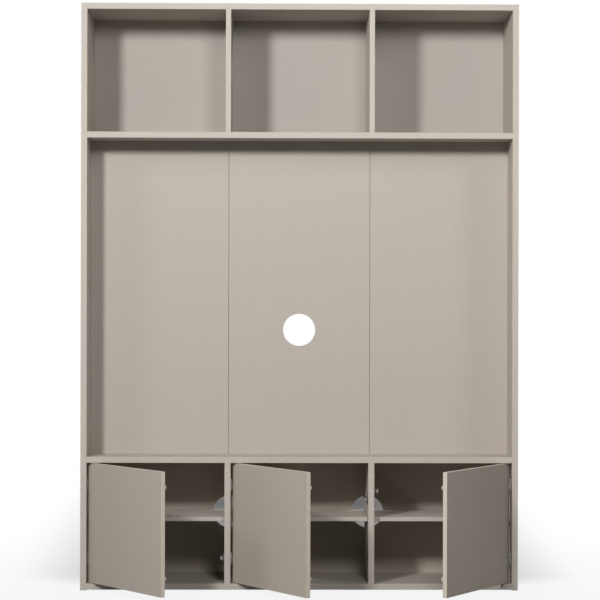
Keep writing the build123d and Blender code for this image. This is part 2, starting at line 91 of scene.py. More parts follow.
def ramp(tree, value, low, high, at_low=0.0, at_high=1.0):
    """The value carried smoothly from one span to another, and held at the ends."""
    spans = dict(enumerate((value, low, high, at_low, at_high)))
    return add(tree, "MapRange", spans, interpolation_type="SMOOTHSTEP").outputs[0]


def blend_of(tree, share, first, second):
    """A colour between two, by the share of the second."""
    inputs = {0: share, 6: first, 7: second}
    for index in (6, 7):
        if not isinstance(inputs[index], bpy.types.NodeSocket):
            inputs[index] = (*inputs[index], 1)
    return add(tree, "Mix", inputs, data_type="RGBA").outputs[2]


def mottle(tree, place, scale, detail=3.0, roughness=0.55):
    """Noise at a place; three scales stretch it."""
    if not isinstance(scale, float):
        stretched = {"Vector": place, "Scale": scale}
        place = add(tree, "Mapping", stretched, vector_type="POINT").outputs[0]
        scale = 1.0
    inputs = {"Vector": place, "Scale": scale, "Detail": detail, "Roughness": roughness}
    return add(tree, "TexNoise", inputs).outputs["Fac"]


def new_finish(name, same_all_over):
    """A material, its node tree and its shader, with the sockets that don't vary."""
    material = bpy.data.materials.new(name)
    material.use_nodes = True
    tree = material.node_tree
    shader = tree.nodes["Principled BSDF"]
    for socket, value in same_all_over.items():
        shader.inputs[socket].default_value = value
    return material, tree, shader


def relief(tree, shader, height, strength, distance):
    """Feed a height to the shader as bump."""
    inputs = {"Height": height, "Strength": strength, "Distance": distance}
    tree.links.new(add(tree, "Bump", inputs).outputs[0], shader.inputs["Normal"])


def from_edges(tree, place, middle, half):
    """A point's place from a board's middle, its depth under each pair of faces, and how
    far it lies from the nearest edge."""
    centred = add(tree, "VectorMath", {0: place, 1: middle}, operation="SUBTRACT").outputs[0]
    folded = add(tree, "VectorMath", {0: centred}, operation="ABSOLUTE").outputs[0]
    inset = add(tree, "VectorMath", {0: half, 1: folded}, operation="SUBTRACT").outputs[0]
    depths = add(tree, "SeparateXYZ", {0: inset}).outputs
    nearer = reckon(tree, "MINIMUM", depths[0], depths[1])
    farther = reckon(tree, "MAXIMUM", depths[0], depths[1])
    edge = reckon(tree, "MAXIMUM", nearer, reckon(tree, "MINIMUM", farther, depths[2]))
    return centred, depths, edge


def raw_core(tree, drawn):
    """The colour and the pits of sawn particle board: pressed chips in dusty glue."""
    chips = add(tree, "TexVoronoi", {"Vector": drawn, "Scale": 430.0, "Randomness": 1.0})
    parts = add(tree, "SeparateColor", {0: chips.outputs["Color"]}).outputs
    chip = blend_of(tree, parts[0], (0.30, 0.205, 0.115), (0.60, 0.46, 0.295))
    dust = ramp(tree, mottle(tree, drawn, 900.0, 3.0), 0.45, 0.7, 0.0, 0.6)
    return blend_of(tree, dust, chip, CORE_DUST), parts[1]


def board_finish(
    name, low, high, grain, raw=(), turn=0.0, pivot=(0, 0, 0), tone=(1, 1, 1), band_and_highlight=1.08
):
    """Greige lacquer on one board, whose box is given in its own turned frame. The grain
    runs along one axis, the edge band is painted lighter than the faces, partly its own
    tone and partly a painted highlight for the light its edges catch, and the raw sides,
    each an axis and a sign, show the core."""
    material, tree, shader = new_finish(name, {"Specular IOR Level": 0.06})
    middle, half = (Vector(low) + Vector(high)) / 2, (Vector(high) - Vector(low)) / 2
    own = add(tree, "TexCoord").outputs["Object"]
    turned = {"Vector": own, "Location": pivot, "Rotation": (0, 0, turn)}
    place = add(tree, "Mapping", turned, vector_type="TEXTURE").outputs[0]
    shift = [13.7 * middle.x, 9.1 * middle.y, 7.3 * middle.z]
    drawn = add(tree, "VectorMath", {0: place, 1: shift}, operation="ADD").outputs[0]
    thin = min(range(3), key=lambda axis: half[axis])

    def along(fine, coarse):
        return [coarse if axis == grain else fine for axis in range(3)]

    # Streaks, threads and pores run with the grain, and wide clouds lie over them
    streaks = mottle(tree, drawn, along(330, 3.0), 6.0, 0.66)
    threads = mottle(tree, drawn, along(1150, 14.0), 3.0, 0.6)
    pores = ramp(tree, mottle(tree, drawn, along(1500, 95.0), 2.0), 0.60, 0.72)
    clouds = mottle(tree, drawn, 2.3, 3.0, 0.5)
    mostly_streaks = reckon(tree, "MULTIPLY", streaks, 0.55)
    grain_share = reckon(tree, "MULTIPLY_ADD", threads, 0.45, mostly_streaks)
    tint = [value * share for value, share in zip(GREIGE, tone)]
    pale = blend_of(
        tree,
        ramp(tree, grain_share, 0.30, 0.70),
        [value * 0.955 for value in tint],
        [value * 1.035 for value in tint],
    )
    warm = [tint[0] * 1.0, tint[1] * 0.975, tint[2] * 0.945]
    clouded = blend_of(tree, ramp(tree, clouds, 0.35, 0.75, 0.0, 0.45), pale, warm)
    dark = [value * 0.62 for value in tint]
    pored = blend_of(tree, reckon(tree, "MULTIPLY", pores, 0.16), clouded, dark)

    # The edges are rubbed a little smoother in places, and paler there: partly wear, partly a
    # painted highlight where the edges catch light
    centred, depths, edge = from_edges(tree, place, middle, half)
    rub_and_sheen_spots = mottle(tree, drawn, 34.0, 4.0, 0.6)
    near_edge = ramp(tree, edge, *EDGE_WEAR_AND_SHEEN, 1.0, 0.0)
    wear_and_sheen = reckon(tree, "MULTIPLY", near_edge, ramp(tree, rub_and_sheen_spots, 0.38, 0.68, 0.15, 1.0))
    light = [min(1, value * 1.2) for value in tint]
    worn_and_lit = blend_of(tree, reckon(tree, "MULTIPLY", wear_and_sheen, 0.42), pored, light)

    # The edge band is painted lighter, partly its own tone and partly a painted highlight, and its
    # glue line shows on the faces
    on_face = reckon(tree, "LESS_THAN", depths[thin], FACE_SKIN)
    lit_band = blend_of(tree, on_face, [band_and_highlight] * 3, [1.0] * 3)
    worn_and_lit = add(tree, "VectorMath", {0: worn_and_lit, 1: lit_band}, operation="MULTIPLY").outputs[0]
    joint = reckon(tree, "MULTIPLY", on_face, reckon(tree, "COMPARE", edge, SEAM_IN, GLUE_LINE))
    glue = [value * 0.55 for value in tint]
    colour = blend_of(tree, reckon(tree, "MULTIPLY", joint, 0.5), worn_and_lit, glue)

    satin = reckon(tree, "MULTIPLY_ADD", threads, 0.10, 0.44)
    satin = reckon(tree, "MULTIPLY_ADD", clouds, 0.10, satin)
    rough = reckon(tree, "SUBTRACT", satin, reckon(tree, "MULTIPLY", wear_and_sheen, 0.12))
    sunk = reckon(tree, "ADD", reckon(tree, "MULTIPLY", pores, 0.8), joint)
    height = reckon(tree, "SUBTRACT", reckon(tree, "MULTIPLY", grain_share, 0.5), sunk)
    if raw:
        core, pits = raw_core(tree, drawn)
        places = add(tree, "SeparateXYZ", {0: centred}).outputs
        shown = None
        for axis, sign in raw:
            past = reckon(tree, "MULTIPLY", places[axis], float(sign))
            there = reckon(tree, "GREATER_THAN", past, half[axis] - RAW_SKIN)
            shown = there if shown is None else reckon(tree, "MAXIMUM", shown, there)
        colour = blend_of(tree, shown, colour, core)
        rough = reckon(tree, "MULTIPLY_ADD", shown, 0.35, rough)
        pitted = reckon(tree, "MULTIPLY", reckon(tree, "MULTIPLY", pits, shown), 3.0)
        height = reckon(tree, "ADD", height, pitted)
    tree.links.new(colour, shader.inputs["Base Color"])
    tree.links.new(rough, shader.inputs["Roughness"])
    relief(tree, shader, height, 0.22, 0.0004)
    return material


def dress(name, material):
    """Put a material on a CAD node."""
    nodes[name].material_slots[0].material = material


def dress_board(name, grain, *raw, **settings):
    """Dress a CAD board in a finish of its own, fitted to its box."""
    low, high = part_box(name)
    dress(name, board_finish(name, low, high, grain, raw, **settings))


UPRIGHT, ACROSS = 2, 0
REAR, UNDERSIDE = (1, 1), (2, -1)
FRONT_Y, BACK_Y = (corner.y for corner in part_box("side_left"))
for side in ("left", "right"):
    dress_board(f"side_{side}", UPRIGHT, REAR, UNDERSIDE)

# Four level boards lie between the sides: the bottom, the deck of the wide open bay, the
# upper shelf and the top. They are 22 mm boards in the same finish, with their grain
# across the cabinet, and dowels and cams hold them to the sides.
for name in ("bottom_panel", "tv_deck", "upper_shelf", "top_panel"):
    dress_board(name, ACROSS, REAR)

# Upright dividers part the three open compartments at the top and the three closed ones
# at the bottom. Two posts stand in line with them behind the wide panel. Dowels hold all
# six to the boards above and below.
for kind in ("upper_divider", "lower_divider", "tv_post"):
    for side in ("left", "right"):
        dress_board(f"{kind}_{side}", UPRIGHT, REAR)

# The upper and lower back panels are 8 mm boards that slide in grooves round their edge.
# Their grain runs across, and the lower one has a sawn round hole behind each divider
# for cables.
# The lower back panel is tinted darker and warmer than the upper one, as painted shade for the
# closed compartments it lines.
BACK_TONES = {
    "upper_back_panel": (0.985, 0.985, 1.02),
    "lower_back_panel": (0.965, 0.955, 0.93),
}
for name, tone in BACK_TONES.items():
    dress_board(name, ACROSS, tone=tone)

# The wide panel stands forward in the open bay: three 18 mm boards with upright grain and
# 1 mm seams between them, on the posts and on a batten along each side.
for place in ("left", "centre", "right"):
    dress_board(f"tv_panel_{place}", UPRIGHT)
for side in ("left", "right"):
    dress_board(f"tv_batten_{side}", UPRIGHT, REAR)

# One loose 15 mm shelf lies in each lower compartment, with its grain across. It rests on
# four nickel-plated steel pins that are pushed into holes in the uprights.
for place in ("left", "centre", "right"):
    dress_board(f"inner_shelf_{place}", ACROSS, REAR)

BOARD = 0.022
COMPARTMENT = 0.504
SHELF_REAR_GAP = 0.001
PIN_RADIUS = 0.0025
PIN_SEAT = 0.009
PIN_INSET = 0.030
SHARP_FROM = 35


def lathe(profile, segments=32):
    """A closed round form about Z, from (radius, height) points between its poles."""
    form = bmesh.new()
    corners = [form.verts.new((radius, 0, height)) for radius, height in profile]
    lines = [form.edges.new(pair) for pair in zip(corners, corners[1:])]
    bmesh.ops.spin(
        form, geom=corners + lines, cent=(0, 0, 0), axis=(0, 0, 1),
        angle=math.tau, steps=segments, use_merge=True,
    )
    bmesh.ops.remove_doubles(form, verts=form.verts, dist=1e-6)
    bmesh.ops.recalc_face_normals(form, faces=form.faces)
    return form


def stamp(into, form, matrix):
    """Copy a form into another, placed by a matrix and never inside out."""
    mesh = bpy.data.meshes.new("form")
    form.to_mesh(mesh)
    before = set(into.verts)
    into.from_mesh(mesh)
    bpy.data.meshes.remove(mesh)
    fresh = [vert for vert in into.verts if vert not in before]
    bmesh.ops.transform(into, matrix=matrix, verts=fresh)
    if matrix.determinant() < 0:
        faces = dict.fromkeys(face for vert in fresh for face in vert.link_faces)
        bmesh.ops.reverse_faces(into, faces=list(faces))


def facing(place, outward):
    """A matrix that puts a form's foot at a place with its Z axis outward."""
    z = Vector(outward).normalized()
    hint = Vector((0, 0, 1)) if abs(z.z) < 0.99 else Vector((1, 0, 0))
    x = hint.cross(z).normalized()
    turned = Matrix((x, z.cross(x), z)).transposed().to_4x4()
    return Matrix.Translation(place) @ turned


def make(name, form, material, body, slot, *stood_for):
    """Make a piece from a form; it rides on a body and stands for CAD nodes."""
    mesh = bpy.data.meshes.new(name)
    form.to_mesh(mesh)
    form.free()
    mesh.polygons.foreach_set("use_smooth", [True] * len(mesh.polygons))
    mesh.set_sharp_from_angle(angle=math.radians(SHARP_FROM))
    mesh.materials.append(material)
    piece = bpy.data.objects.new(name, mesh)
    bpy.context.scene.collection.objects.link(piece)
    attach(piece, body)
    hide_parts(*stood_for)


def vary(tree, shader, share, first, second, rough_share, spread, least):
    """Blend the base colour by one share, and roughen it from the least by another."""
    tree.links.new(blend_of(tree, share, first, second), shader.inputs["Base Color"])
    roughness = reckon(tree, "MULTIPLY_ADD", rough_share, spread, least)
    tree.links.new(roughness, shader.inputs["Roughness"])


def metal_finish(name, colour, rough, brush=900.0, specks=0.06):
    """Plated metal with fine brush lines, faint stains and small marks."""
    material, tree, shader = new_finish(name, {"Metallic": 1.0})
    place = add(tree, "TexCoord").outputs["Object"]
    lines = mottle(tree, place, (brush, brush * 1.3, 60.0), 3.0, 0.6)
    stains = mottle(tree, place, 160.0, 4.0, 0.6)
    marks = ramp(tree, mottle(tree, place, 2600.0, 2.0), 0.62, 0.70)
    dull = [value * 0.72 for value in colour]
    stained = blend_of(tree, ramp(tree, stains, 0.42, 0.72, 0.0, 0.7), colour, dull)
    dark = [value * 0.45 for value in colour]
    stained_rough = reckon(tree, "MULTIPLY_ADD", stains, 0.18, rough)
    share = reckon(tree, "MULTIPLY", marks, 0.5)
    vary(tree, shader, share, stained, dark, lines, 0.16, stained_rough)
    height = reckon(tree, "SUBTRACT", lines, reckon(tree, "MULTIPLY", marks, specks * 10))
    relief(tree, shader, height, 0.18, 0.0002)
    return material


nickel = metal_finish("nickel_plate", (0.52, 0.51, 0.485), 0.24)
pin = lathe(
    [(0, 0), (0.0021, 0), (PIN_RADIUS, 0.0004), (PIN_RADIUS, 0.0085), (0.0022, 0.0088),
     (0.0022, 0.0094), (PIN_RADIUS, 0.0097), (PIN_RADIUS, 0.0162), (0.0018, 0.0170), (0, 0.0170)],
    20,
)
low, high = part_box("inner_shelf_centre")
pin_ys = (low.y + PIN_INSET, high.y + SHELF_REAR_GAP - PIN_INSET)
pin_z = low.z - PIN_RADIUS
pins = bmesh.new()
for centre in (-COMPARTMENT - BOARD, 0.0, COMPARTMENT + BOARD):
    for side in (-1, 1):
        for y in pin_ys:
            foot = (centre + side * (COMPARTMENT / 2 + PIN_SEAT), y, pin_z)
            stamp(pins, pin, facing(foot, (-side, 0, 0)))
make("shelf_pin_set", pins, nickel, "cabinet", "plated_steel", "shelf_pins")

# Beech dowels sit glued in every board joint. They are turned from straight beech, and
# only their ends and glue flutes would show if the cabinet were taken apart.
beech, tree, shader = new_finish("beech", {"Specular IOR Level": 0.3})
place = add(tree, "TexCoord").outputs["Object"]
fibre = mottle(tree, place, (700, 700, 700), 4.0, 0.65)
flecks = ramp(tree, mottle(tree, place, 1900.0, 2.0), 0.60, 0.70)
fibred = blend_of(tree, ramp(tree, fibre, 0.3, 0.7), (0.62, 0.43, 0.25), (0.78, 0.60, 0.40))
fleck_share = reckon(tree, "MULTIPLY", flecks, 0.5)
vary(tree, shader, fleck_share, fibred, (0.40, 0.24, 0.12), fibre, 0.2, 0.55)
relief(tree, shader, fibre, 0.25, 0.0003)
dress("wood_dowels", beech)

# Cam fittings pull the level boards to the sides: a zinc-plated bolt in the side panel,
# and a die-cast cam in the board that grips the bolt's head when it is turned.
SIDE_INNER = 0.778
CAM_RADIUS = 0.0075
CAM_HEIGHT = 0.0127
CAM_IN = SIDE_INNER - 0.024
CAM_ROWS = (FRONT_Y + 0.092, FRONT_Y + 0.248)
CAM_MOUTH_RADIUS = 0.0041
CAM_MOUTH_LENGTH = 0.0120
BOLT_AXIS = 0.011


def ease(form, edges, offset, segments=6, **settings):
    """Round some edges of a form, or cut them off where the segments are few."""
    bmesh.ops.bevel(
        form, geom=edges, offset=offset, segments=segments, affect="EDGES",
        profile=0.5, material=-1, **settings,
    )


def block(form, low, high, bevel=0.0, segments=2):
    """Add a block between two corners to a form, with its edges eased."""
    low, high = Vector(low), Vector(high)
    sized = Matrix.Translation((low + high) / 2) @ Matrix.Diagonal((*(high - low), 1))
    made = bmesh.ops.create_cube(form, size=1.0, matrix=sized)["verts"]
    if bevel:
        edges = dict.fromkeys(edge for vert in made for edge in vert.link_edges)
        ease(form, list(edges), bevel, segments, clamp_overlap=True)
    return form


def carved(form, cutter, operation="DIFFERENCE"):
    """The form with the cutter taken away from it, or joined to it."""
    pair = []
    for label, source in (("form", form), ("cutter", cutter)):
        mesh = bpy.data.meshes.new(label)
        source.to_mesh(mesh)
        source.free()
        thing = bpy.data.objects.new(label, mesh)
        bpy.context.scene.collection.objects.link(thing)
        pair.append(thing)
    tool = pair[0].modifiers.new("carve", "BOOLEAN")
    tool.operation = operation
    tool.solver = "EXACT"
    tool.object = pair[1]
    bpy.context.view_layer.update()
    done = pair[0].evaluated_get(bpy.context.evaluated_depsgraph_get())
    result = bmesh.new()
    result.from_mesh(done.to_mesh())
    done.to_mesh_clear()
    for thing in pair:
        mesh = thing.data
        bpy.data.objects.remove(thing)
        bpy.data.meshes.remove(mesh)
    bmesh.ops.remove_doubles(result, verts=result.verts, dist=1e-6)
    return result


def cross_recess(reach, width, top, depth):
    """A cutter for the cross in the head of a screw or cam."""
    bars = []
    for x, y in ((reach, width), (width, reach)):
        bars.append(block(bmesh.new(), (-x, -y, top - depth), (x, y, top + 0.001)))
    return carved(*bars, "UNION")


zinc = metal_finish("die_cast_zinc", (0.42, 0.42, 0.41), 0.42, brush=300.0, specks=0.12)
plating = metal_finish("zinc_plate", (0.50, 0.48, 0.43), 0.28)
cam = lathe(
    [(0, 0.0003), (CAM_RADIUS - 0.0004, 0.0003), (CAM_RADIUS, 0.0008),
     (CAM_RADIUS, CAM_HEIGHT - 0.0012), (CAM_RADIUS - 0.0003, CAM_HEIGHT - 0.0004),
     (CAM_RADIUS - 0.0009, CAM_HEIGHT), (CAM_RADIUS - 0.0014, CAM_HEIGHT),
     (CAM_RADIUS - 0.0018, CAM_HEIGHT - 0.0005), (0, CAM_HEIGHT - 0.0005)],
    48,
)
cam = carved(cam, cross_recess(0.0034, 0.0008, CAM_HEIGHT - 0.0005, 0.0030))
mouth = lathe(
    [(0, 0), (CAM_MOUTH_RADIUS, 0), (CAM_MOUTH_RADIUS, CAM_MOUTH_LENGTH), (0, CAM_MOUTH_LENGTH)], 24
)
outlet = facing((-0.0030, 0, CAM_HEIGHT - BOLT_AXIS), (1, 0, 0))
bmesh.ops.transform(mouth, matrix=outlet, verts=mouth.verts)
cam = carved(cam, mouth)
cams = bmesh.new()
for name, upward in (("bottom_panel", -1), ("tv_deck", -1), ("upper_shelf", 1), ("top_panel", 1)):
    low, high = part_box(name)
    face = high.z if upward > 0 else low.z
    for side in (-1, 1):
        for y in CAM_ROWS:
            turn = Matrix.Translation((side * CAM_IN, y, face - upward * CAM_HEIGHT))
            stamp(cams, cam, turn @ Matrix.Diagonal((side, 1, upward, 1)))
make("cam_lock_set", cams, zinc, "cabinet", "cam_zinc", "cam_locks")
dress("cam_bolts", plating)

# Four black plastic glides under the bottom panel keep it 2.5 mm off the floor. Each is
# 24 mm across and pinned through its middle.
DIVIDER_X = 0.263
GLIDE_INSET = 0.040
black, tree, shader = new_finish("black_plastic", {"Specular IOR Level": 0.45})
place = add(tree, "TexCoord").outputs["Object"]
pebble = mottle(tree, place, 1400.0, 3.0)
scuffed = ramp(tree, mottle(tree, place, 120.0, 5.0, 0.7), 0.5, 0.72)
vary(tree, shader, scuffed, (0.018, 0.018, 0.018), (0.060, 0.057, 0.052), scuffed, 0.25, 0.42)
relief(tree, shader, pebble, 0.3, 0.0002)
glide = lathe(
    [(0, 0.0006), (0.0022, 0.0006), (0.0026, 0.0001), (0.0034, 0.0001), (0.0038, 0.0006),
     (0.0090, 0.0005), (0.0096, 0.0), (0.0108, 0.0), (0.0120, 0.0008), (0.0120, 0.0025),
     (0, 0.0025)],
    40,
)
glides = bmesh.new()
for side in (-1, 1):
    for y in (FRONT_Y + GLIDE_INSET, BACK_Y - GLIDE_INSET):
        stamp(glides, glide, Matrix.Translation((side * DIVIDER_X, y, 0)))
make("floor_glide_set", glides, black, "cabinet", "glide_plastic", "floor_glides")

# Two bent steel brackets under the upper shelf hold the cabinet to the wall. Each is
# 60 mm wide with a pressed rib, and two pan-head screws go up into the shelf. The wall's
# screws go through the other leg.
SHELF_UNDER = 1.653
BRACKET_X = 0.658
BRACKET_WIDTH = 0.060
BRACKET_LEG = 0.040
BRACKET_WALL = 0.0025
BRACKET_BEND = 0.003
BRACKET_CORNER = 0.006
WALL_HOLE_RADIUS = 0.0035
RIB_RADIUS = 0.0042
RIB_LENGTH = 0.034
RIB_INSET = 0.0125
RIB_SHY = 0.0006
SCREW_PITCH = 0.036
SCREW_HEAD = 0.0036
HEAD_HEIGHT = 0.0018
THREAD_PITCH = 0.0012


def screw_form(length):
    """A pan-head screw with its foot at the head's underside and its point downward."""
    outline = [(0, HEAD_HEIGHT), (0.0014, 0.00177), (0.0025, 0.00150), (0.0032, 0.00100),
               (SCREW_HEAD, 0.00035), (0.00355, 0.0), (0.0019, 0.0)]
    turns = int((length - 0.003) / THREAD_PITCH)
    for turn in range(turns):
        top = -0.0008 - turn * THREAD_PITCH
        outline += [(0.0015, top), (0.0020, top - 0.0005)]
    outline += [(0.0013, -length + 0.0015), (0, -length)]
    form = lathe(outline[::-1], 20)
    return carved(form, cross_recess(0.0019, 0.00042, HEAD_HEIGHT, 0.0013))


def bored(form, radius, *places):
    """The form with round holes through it, each a foot, a direction and a length."""
    holes = bmesh.new()
    for foot, direction, length in places:
        hole = lathe([(0, 0), (radius, 0), (radius, length), (0, length)], 24)
        stamp(holes, hole, facing(foot, direction))
        hole.free()
    return carved(form, holes)


def strip(points, across):
    """A form that is a thin strip: a line of points drawn out across."""
    form = bmesh.new()
    line = [form.verts.new(point) for point in points]
    edges = [form.edges.new(pair) for pair in zip(line, line[1:])]
    drawn = bmesh.ops.extrude_edge_only(form, edges=edges)["geom"]
    fresh = [part for part in drawn if isinstance(part, bmesh.types.BMVert)]
    bmesh.ops.translate(form, vec=across, verts=fresh)
    return form


def edges_where(form, test):
    """The edges of a form whose two ends both pass a test on their place."""
    return [edge for edge in form.edges if all(test(vert.co) for vert in edge.verts)]


def edges_along(form, axis, least=0.001):
    """The edges of a form that run at least so far along an axis."""
    found = []
    for edge in form.edges:
        start, end = edge.verts
        if abs(start.co[axis] - end.co[axis]) > least:
            found.append(edge)
    return found


left_x = -BRACKET_WIDTH / 2
bracket = strip(
    [(left_x, BACK_Y - BRACKET_LEG, SHELF_UNDER), (left_x, BACK_Y, SHELF_UNDER),
     (left_x, BACK_Y, SHELF_UNDER - BRACKET_LEG)],
    (BRACKET_WIDTH, 0, 0),
)
bend = edges_where(
    bracket, lambda spot: abs(spot.y - BACK_Y) < 1e-6 and abs(spot.z - SHELF_UNDER) < 1e-6
)
ease(bracket, bend, BRACKET_BEND)
bmesh.ops.recalc_face_normals(bracket, faces=bracket.faces)
if sum(face.normal.y for face in bracket.faces) < 0:
    bmesh.ops.reverse_faces(bracket, faces=bracket.faces)
bmesh.ops.solidify(bracket, geom=list(bracket.faces), thickness=BRACKET_WALL)
outer = edges_where(
    bracket,
    lambda spot: spot.y < BACK_Y - BRACKET_LEG + 1e-5 or spot.z < SHELF_UNDER - BRACKET_LEG + 1e-5,
)
tips = [edge for edge in outer if abs(edge.verts[0].co.x - edge.verts[1].co.x) < 1e-6]
ease(bracket, tips, BRACKET_CORNER)
bmesh.ops.recalc_face_normals(bracket, faces=bracket.faces)
holes = []
for way in (-1, 1):
    x = way * SCREW_PITCH / 2
    holes.append(((x, BACK_Y - 0.02, SHELF_UNDER - BRACKET_LEG / 2), (0, 1, 0), 0.04))
bracket = bored(bracket, WALL_HOLE_RADIUS, *holes)
rib = bmesh.new()
slope = Matrix.Rotation(math.radians(45), 4, "X")
bmesh.ops.create_cone(
    rib, cap_ends=True, segments=24, radius1=RIB_RADIUS, radius2=RIB_RADIUS, depth=RIB_LENGTH,
    matrix=Matrix.Translation((0, BACK_Y - RIB_INSET, SHELF_UNDER - RIB_INSET)) @ slope,
)

# The rib is cut off just short of the faces that lie on the wall and on the shelf
for wall_face, shelf_face in ((RIB_SHY, 0.1), (0.1, RIB_SHY)):
    past_plate = block(
        bmesh.new(),
        (-0.01, BACK_Y - wall_face, SHELF_UNDER - shelf_face),
        (0.01, BACK_Y + 0.1, SHELF_UNDER + 0.1),
    )
    rib = carved(rib, past_plate)
bracket = carved(bracket, rib, "UNION")
for side, word in ((-1, "left"), (1, "right")):
    angle = bmesh.new()
    stamp(angle, bracket, Matrix.Translation((side * BRACKET_X, 0, 0)))
    make(f"angle_bracket_{word}", angle, zinc, "cabinet", "plated_steel", f"wall_bracket_{word}")
long_screw = screw_form(length=0.012)
bracket_screws = bmesh.new()
for side in (-1, 1):
    for way in (-1, 1):
        x = side * BRACKET_X + way * SCREW_PITCH / 2
        head = (x, BACK_Y - BRACKET_LEG / 2, SHELF_UNDER - BRACKET_WALL)
        stamp(bracket_screws, long_screw, facing(head, (0, 0, -1)))
make("bracket_screw_set", bracket_screws, plating, "cabinet", "screw_steel", "bracket_screws")

# The doors are 16 mm boards with upright grain, banded on all four edges. They have no
# handles: each is pushed to spring open. The left and centre doors hang on their left
# edge and the right one on its right edge, and all three stand open.
# The doors are tinted a little darker and warmer than the carcass: partly their own tone, partly
# painted shade for faces turned from the lamps.
DOOR_TONE = (0.975, 0.955, 0.925)
# The doors' edge band is painted far lighter: partly its own tone, mostly a painted highlight for
# the light on their edges
DOOR_BAND_AND_HIGHLIGHT = 1.30
HINGE_EDGE = -0.0255
FREE_EDGE = 0.4735
OUTER_FACE = -0.009
INNER_FACE = 0.007
HALF_HEIGHT = 0.2185
OPEN = {"left": 55.0, "centre": 58.0, "right": 58.0}
PIVOT = {"left": -0.750, "centre": -0.224, "right": 0.750}
AXIS_Y = FRONT_Y + 0.009
AXIS_Z = 0.245


def door_frames(door):
    """Matrices from a door's own frame: as it hangs closed, and as it stands open. X runs
    from the pin to the free edge and Y into the cabinet; the right door is turned over."""
    way = -1 if door == "right" else 1
    angle = math.radians(OPEN[door])
    frames = []
    for cosine, sine in ((1.0, 0.0), (math.cos(angle), math.sin(angle))):
        columns = Matrix(((way * cosine, -sine, 0), (way * sine, cosine, 0), (0, 0, way)))
        frames.append(
            Matrix.Translation((PIVOT[door], AXIS_Y, AXIS_Z)) @ columns.transposed().to_4x4()
        )
    return frames


for door in OPEN:
    turn = math.radians(OPEN[door] if door == "right" else -OPEN[door])
    reach = (-FREE_EDGE, -HINGE_EDGE) if door == "right" else (HINGE_EDGE, FREE_EDGE)
    material = board_finish(
        f"door_{door}",
        (reach[0], OUTER_FACE, -HALF_HEIGHT),
        (reach[1], INNER_FACE, HALF_HEIGHT),
        UPRIGHT,
        turn=turn,
        pivot=(PIVOT[door], AXIS_Y, AXIS_Z),
        tone=DOOR_TONE,
        band_and_highlight=DOOR_BAND_AND_HIGHLIGHT,
    )
    dress(f"door_{door}", material)

# Two cup hinges on each door. A drawn nickel-plated cup with a screwed flange is let into
# the door, and a pin across it carries the cabinet's arm.
HINGES = (-0.1355, 0.1355)
CUP_RADIUS = 0.0175
FLANGE = 0.0012
FLANGE_HALF_WIDTH = 0.012
FLANGE_HALF_LENGTH = 0.031
CUP_SCREW_STEPS = (-0.024, 0.024)
cup = lathe(
    [(0, -0.0047), (CUP_RADIUS - 0.003, -0.0047), (CUP_RADIUS - 0.0009, -0.0038),
     (CUP_RADIUS, -0.0017), (CUP_RADIUS, INNER_FACE + 0.0001), (0.0188, INNER_FACE + 0.0005),
     (0.0185, INNER_FACE + FLANGE), (0, INNER_FACE + FLANGE)],
    48,
)
plate = block(
    bmesh.new(),
    (-FLANGE_HALF_WIDTH, -FLANGE_HALF_LENGTH, INNER_FACE),
    (FLANGE_HALF_WIDTH, FLANGE_HALF_LENGTH, INNER_FACE + FLANGE),
)
ease(plate, edges_along(plate, 2, 0.0005), 0.004)
rims = edges_where(plate, lambda spot: spot.z > INNER_FACE + FLANGE - 1e-5)
ease(plate, rims, 0.0004, 2)
cup = carved(cup, plate, "UNION")
hollow = lathe(
    [(0, -0.0037), (0.0135, -0.0037), (0.0158, -0.0028), (0.0165, -0.0010), (0.0165, 0.0074),
     (0.0170, INNER_FACE + FLANGE), (0.0170, 0.0100), (0, 0.0100)],
    48,
)
cup = carved(cup, hollow)
inward = Matrix(((1, 0, 0), (0, 0, 1), (0, 1, 0))).to_4x4()
short_screw = screw_form(length=0.010)
for door in OPEN:
    closed, opened = door_frames(door)
    cups, cup_screws = bmesh.new(), bmesh.new()
    for hinge in HINGES:
        stamp(cups, cup, opened @ Matrix.Translation((0, 0, hinge)) @ inward)
        for step in CUP_SCREW_STEPS:
            head = (0, INNER_FACE + FLANGE, hinge + step)
            stamp(cup_screws, short_screw, opened @ facing(head, (0, 1, 0)))
    body = f"door_{door}"
    make(f"hinge_cup_pair_{door}", cups, nickel, body, "plated_steel", f"hinge_cups_{door}")
    make(f"cup_screw_set_{door}", cup_screws, plating, body, "screw_steel", f"cup_screws_{door}")
    dress(f"hinge_pins_{door}", nickel)

# The hinge arms: a stamped gooseneck with an eye round the pin, on a channel that is
# screwed to a plate on the cabinet. The plates are die-cast crosses, each with two
# screws into the board.
ARM_HEIGHT = 0.010
ARM_WALL = 0.003
ARM_BACK = 0.0309
PLATE_FACE = -0.024
WEB_FACE = -0.014
CHANNEL_START = 0.0294
CHANNEL_END = 0.0874
CHANNEL_WALL = 0.0015
SLOT_START = 0.0560
SLOT_END = 0.0650
SLOT_HALF = 0.0022
ADJUSTER_Y = 0.0415
ARM_SCREW_Y = 0.0754
PLATE_BACK = -0.028
PLATE_START = 0.0359
PLATE_END = 0.0859
PLATE_HALF = 0.008
WING_HALF_WIDTH = 0.010
WING_HALF_HEIGHT = 0.025
PLATE_SCREW_Y = 0.044
PLATE_SCREW_STEPS = (-0.016, 0.016)
PIN_HOLE_RADIUS = 0.00155
SCREW_HOLE_RADIUS = 0.00205
route = [(0.0, 0.0), (0.009, 0.005), (0.0127, 0.013), (0.0127, ARM_BACK), (-0.0155, ARM_BACK)]
arm = strip([(x, y, -ARM_HEIGHT / 2) for x, y in route], (0, 0, ARM_HEIGHT))
bmesh.ops.recalc_face_normals(arm, faces=arm.faces)
ease(arm, [edge for edge in arm.edges if len(edge.link_faces) == 2], 0.0032)
bmesh.ops.recalc_face_normals(arm, faces=arm.faces)
